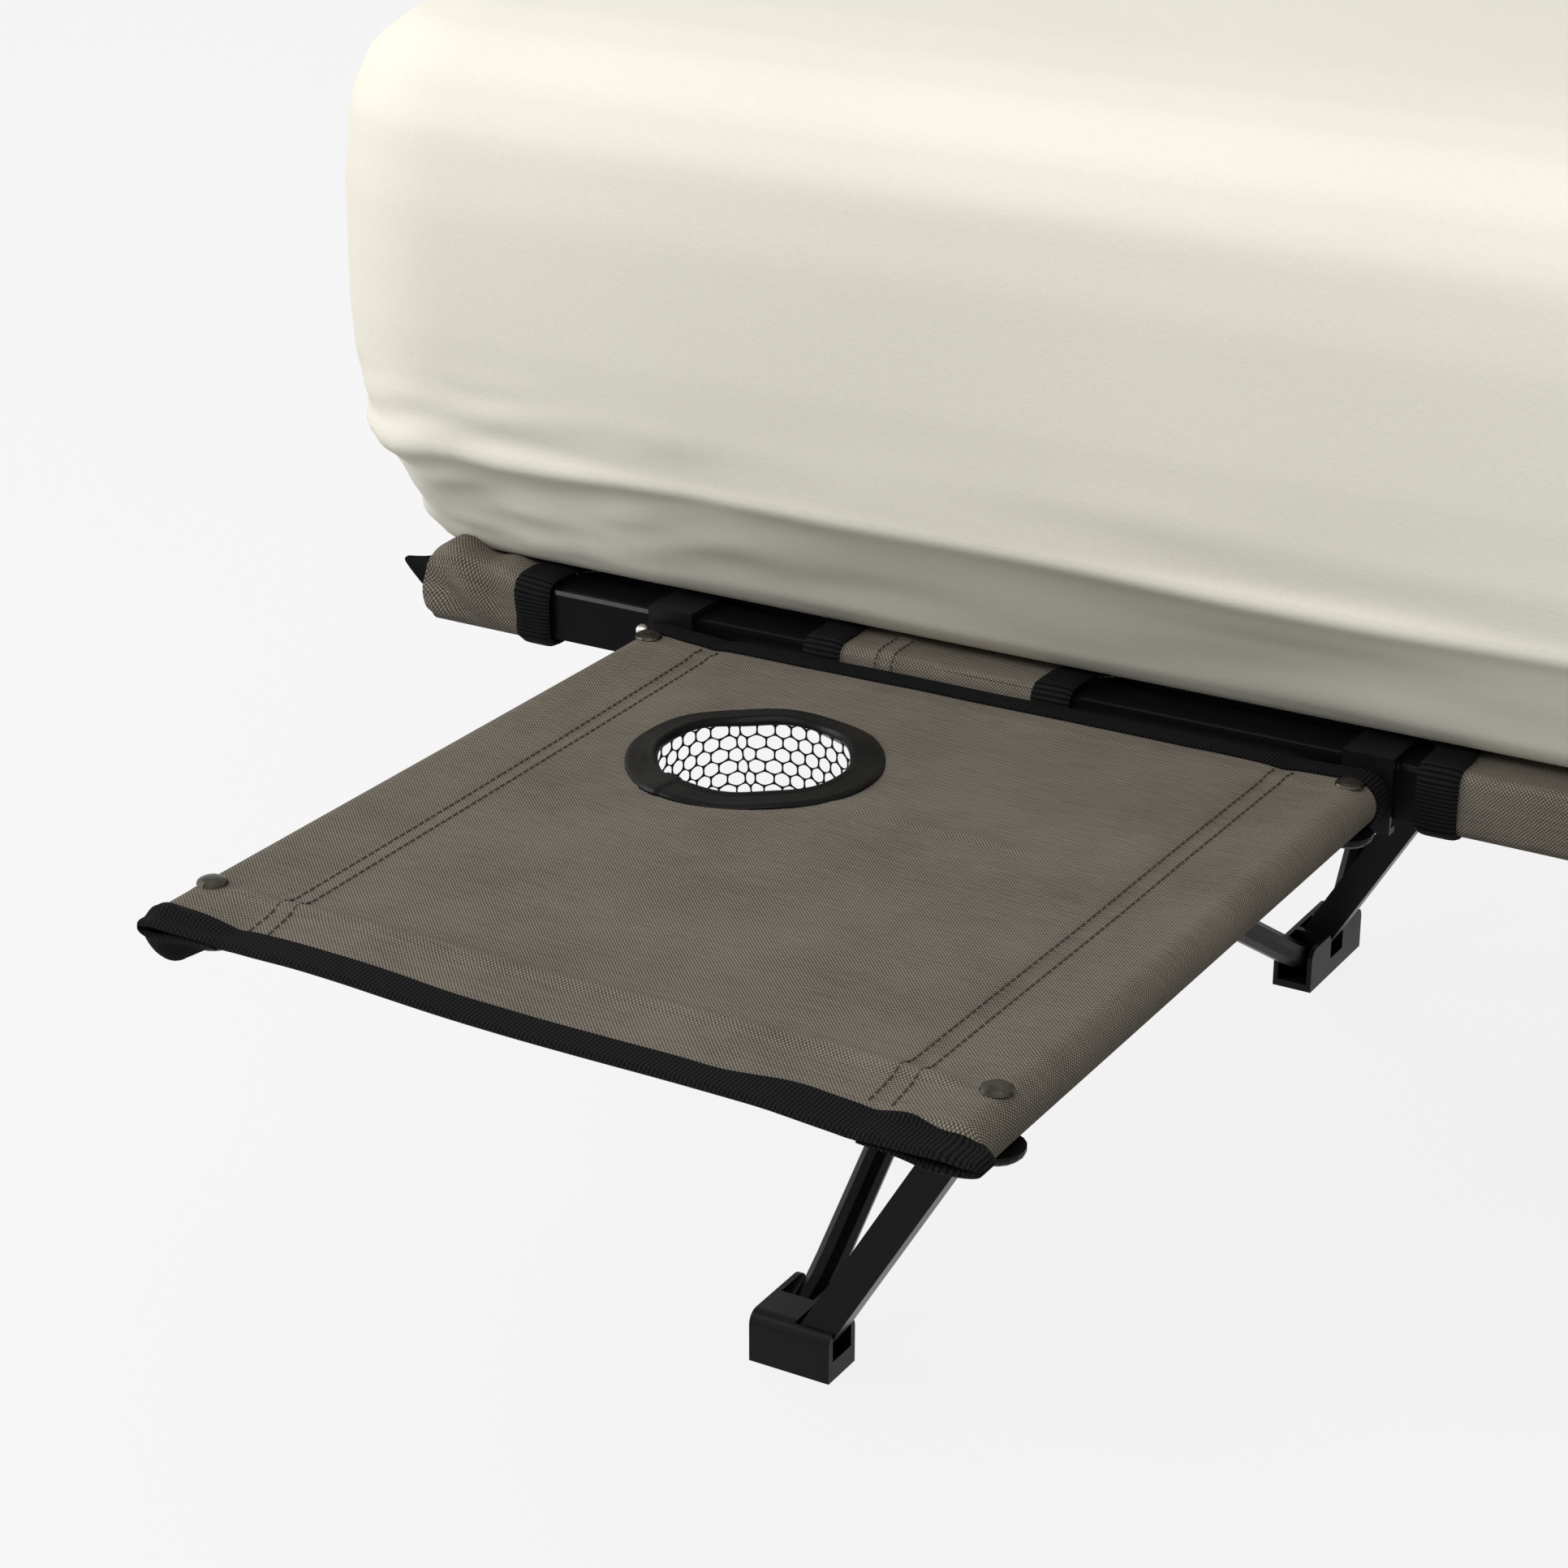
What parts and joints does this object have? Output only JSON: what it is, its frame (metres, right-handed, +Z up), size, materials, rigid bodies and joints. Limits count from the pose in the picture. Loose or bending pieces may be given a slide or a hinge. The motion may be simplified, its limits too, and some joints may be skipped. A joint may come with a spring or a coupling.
{
  "type": "airbed cot",
  "caption": "Folding steel camp cot with crossed fold-out legs and braces, sewn deck, airbed in a fitted cover and a hook-on fabric side table with a mesh cup pocket",
  "frame": {"origin": "on the floor at the bottom centre of the middle leg set's centre foot, midway along and across the cot", "axes": "+X along the side rails toward the foot end, +Y away from the side table, +Z up; the side table hangs on the near rail at -Y, near the head end at -X"},
  "size_m": [2.051, 1.3839, 0.5923],
  "materials": {
    "frame_steel": "semi-gloss black powder coat",
    "hub_plastic": "moulded black plastic, lightly glossed",
    "taupe_cloth": "plain-weave taupe polyester",
    "black_webbing": "black ribbed webbing",
    "black_mesh": "black open hexagonal mesh",
    "cream_cover": "soft cream knit",
    "airbed_vinyl": "flocked dark vinyl",
    "antique_metal": "dark antique finish, glossy dome"
  },
  "bodies": {
    "frame": {"near_rail_head": "frame_steel", "near_rail_foot": "frame_steel", "spine_rail_head": "frame_steel", "spine_rail_foot": "frame_steel", "far_rail_head": "frame_steel", "far_rail_foot": "frame_steel", "deck_cloth": "taupe_cloth", "airbed": "airbed_vinyl", "fitted_cover": "cream_cover", "valve": "hub_plastic"},
    "head_legs": {"head_foot_near": "hub_plastic", "head_foot_centre": "hub_plastic", "head_foot_far": "hub_plastic", "head_leg_near_outer": "frame_steel", "head_leg_near_inner": "frame_steel", "head_leg_far_outer": "frame_steel", "head_leg_far_inner": "frame_steel"},
    "head_side_braces": {"head_brace_near": "frame_steel", "head_brace_far": "frame_steel"},
    "head_centre_brace": {"head_brace_centre": "frame_steel"},
    "middle_legs": {"middle_foot_near": "hub_plastic", "middle_foot_centre": "hub_plastic", "middle_foot_far": "hub_plastic", "middle_leg_near_outer": "frame_steel", "middle_leg_near_inner": "frame_steel", "middle_leg_far_outer": "frame_steel", "middle_leg_far_inner": "frame_steel"},
    "middle_side_braces": {"middle_brace_near": "frame_steel", "middle_brace_far": "frame_steel"},
    "middle_centre_brace": {"middle_brace_centre": "frame_steel"},
    "foot_legs": {"foot_foot_near": "hub_plastic", "foot_foot_centre": "hub_plastic", "foot_foot_far": "hub_plastic", "foot_leg_near_outer": "frame_steel", "foot_leg_near_inner": "frame_steel", "foot_leg_far_outer": "frame_steel", "foot_leg_far_inner": "frame_steel"},
    "foot_side_braces": {"foot_brace_near": "frame_steel", "foot_brace_far": "frame_steel"},
    "foot_centre_brace": {"foot_brace_centre": "frame_steel"},
    "table": {"table_cloth": "taupe_cloth", "table_binding_inner": "black_webbing", "table_binding_outer": "black_webbing", "table_tube_left": "frame_steel", "table_hook_left": "hub_plastic", "table_tube_right": "frame_steel", "table_hook_right": "hub_plastic", "table_rivet_left_inner": "antique_metal", "table_knob_left_inner": "hub_plastic", "table_rivet_left_outer": "antique_metal", "table_knob_left_outer": "hub_plastic", "table_rivet_right_inner": "antique_metal", "table_knob_right_inner": "hub_plastic", "table_rivet_right_outer": "antique_metal", "table_knob_right_outer": "hub_plastic", "cup_rim": "black_webbing", "cup_pocket": "black_mesh"},
    "valve_cap": {"valve_cap": "hub_plastic"}
  },
  "joints": [
    {"name": "head_leg_fold", "type": "hinge", "parent": "frame", "child": "head_legs", "pos_m": [-0.815, 0, 0.312], "axis": [0, 1, 0], "range_deg": [0, 80]},
    {"name": "head_side_brace_hinge", "type": "hinge", "parent": "head_legs", "child": "head_side_braces", "pos_m": [-0.768, 0, 0.018], "axis": [0, 1, 0], "range_deg": [-27, 0]},
    {"name": "head_centre_brace_hinge", "type": "hinge", "parent": "head_legs", "child": "head_centre_brace", "pos_m": [-0.74, 0, 0.018], "axis": [0, 1, 0], "range_deg": [-30, 0]},
    {"name": "middle_leg_fold", "type": "hinge", "parent": "frame", "child": "middle_legs", "pos_m": [-0.075, 0, 0.312], "axis": [0, 1, 0], "range_deg": [0, 80]},
    {"name": "middle_side_brace_hinge", "type": "hinge", "parent": "middle_legs", "child": "middle_side_braces", "pos_m": [-0.028, 0, 0.018], "axis": [0, 1, 0], "range_deg": [-27, 0]},
    {"name": "middle_centre_brace_hinge", "type": "hinge", "parent": "middle_legs", "child": "middle_centre_brace", "pos_m": [0, 0, 0.018], "axis": [0, 1, 0], "range_deg": [-30, 0]},
    {"name": "foot_leg_fold", "type": "hinge", "parent": "frame", "child": "foot_legs", "pos_m": [0.815, 0, 0.312], "axis": [0, -1, 0], "range_deg": [0, 80]},
    {"name": "foot_side_brace_hinge", "type": "hinge", "parent": "foot_legs", "child": "foot_side_braces", "pos_m": [0.768, 0, 0.018], "axis": [0, -1, 0], "range_deg": [-27, 0]},
    {"name": "foot_centre_brace_hinge", "type": "hinge", "parent": "foot_legs", "child": "foot_centre_brace", "pos_m": [0.74, 0, 0.018], "axis": [0, -1, 0], "range_deg": [-30, 0]},
    {"name": "table_tilt", "type": "hinge", "parent": "frame", "child": "table", "pos_m": [-0.6795, -0.4877, 0.3418], "axis": [-1, 0, 0], "range_deg": [0, 10]},
    {"name": "valve_cap_hinge", "type": "hinge", "parent": "frame", "child": "valve_cap", "pos_m": [1.0264, -0.32, 0.5088], "axis": [0, -1, 0], "range_deg": [0, 120]}
  ],
  "couplings": [
    {"joint": "head_side_brace_hinge", "follows": "head_leg_fold", "ratio": -0.334},
    {"joint": "head_centre_brace_hinge", "follows": "head_leg_fold", "ratio": -0.372},
    {"joint": "middle_side_brace_hinge", "follows": "middle_leg_fold", "ratio": -0.334},
    {"joint": "middle_centre_brace_hinge", "follows": "middle_leg_fold", "ratio": -0.372},
    {"joint": "foot_side_brace_hinge", "follows": "foot_leg_fold", "ratio": -0.334},
    {"joint": "foot_centre_brace_hinge", "follows": "foot_leg_fold", "ratio": -0.372}
  ]
}
